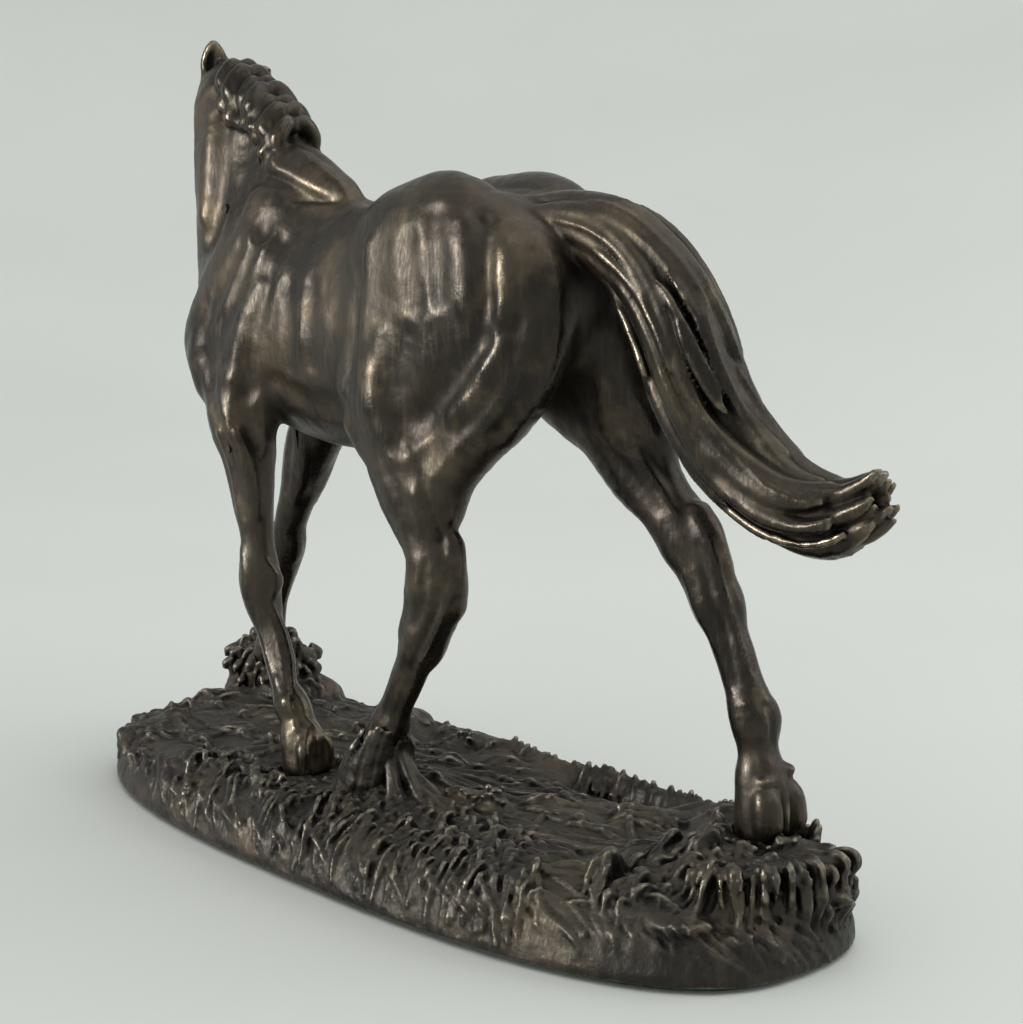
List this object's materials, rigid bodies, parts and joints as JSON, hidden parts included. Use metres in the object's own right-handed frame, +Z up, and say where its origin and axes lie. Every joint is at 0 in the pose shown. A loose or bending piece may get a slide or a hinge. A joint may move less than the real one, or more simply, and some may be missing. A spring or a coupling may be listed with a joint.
{
  "type": "horse statuette",
  "caption": "Bronze statuette of a striding horse on a long oval turf base, cast in sections that are pinned together and bolted down.",
  "frame": {"origin": "middle of the felt pad's underside, on the table", "axes": "+Z up, +X from the horse's chest towards its tail, -Y the horse's left side"},
  "size_m": [0.3106, 0.118, 0.2458],
  "materials": {
    "bronze": "satin dark brown patina over bronze, rubbed golden on the ridges",
    "bronze_dark": "satin near-black brown patina over bronze, lightly rubbed on the grass tips",
    "bronze_pin": "chased flush and patinated",
    "steel": "plain",
    "brass": "plain",
    "felt": "matte felt"
  },
  "bodies": {
    "root": {"base_casting": "bronze_dark", "base_felt_pad": "felt", "torso_casting": "bronze", "neck_and_head_casting": "bronze", "tail_casting": "bronze", "neck_pin_left": "bronze_pin", "neck_pin_right": "bronze_pin", "tail_pin": "bronze_pin", "left_fore_leg_casting": "bronze", "left_fore_pin": "bronze_pin", "left_fore_stud": "steel", "left_fore_washer": "steel", "left_fore_nut": "brass", "right_fore_leg_casting": "bronze", "right_fore_pin": "bronze_pin", "right_fore_stud": "steel", "right_fore_washer": "steel", "right_fore_nut": "brass", "left_hind_leg_casting": "bronze", "left_hind_pin": "bronze_pin", "left_hind_stud": "steel", "left_hind_washer": "steel", "left_hind_nut": "brass", "right_hind_leg_casting": "bronze", "right_hind_pin": "bronze_pin", "right_hind_stud": "steel", "right_hind_washer": "steel", "right_hind_nut": "brass"}
  },
  "joints": []
}
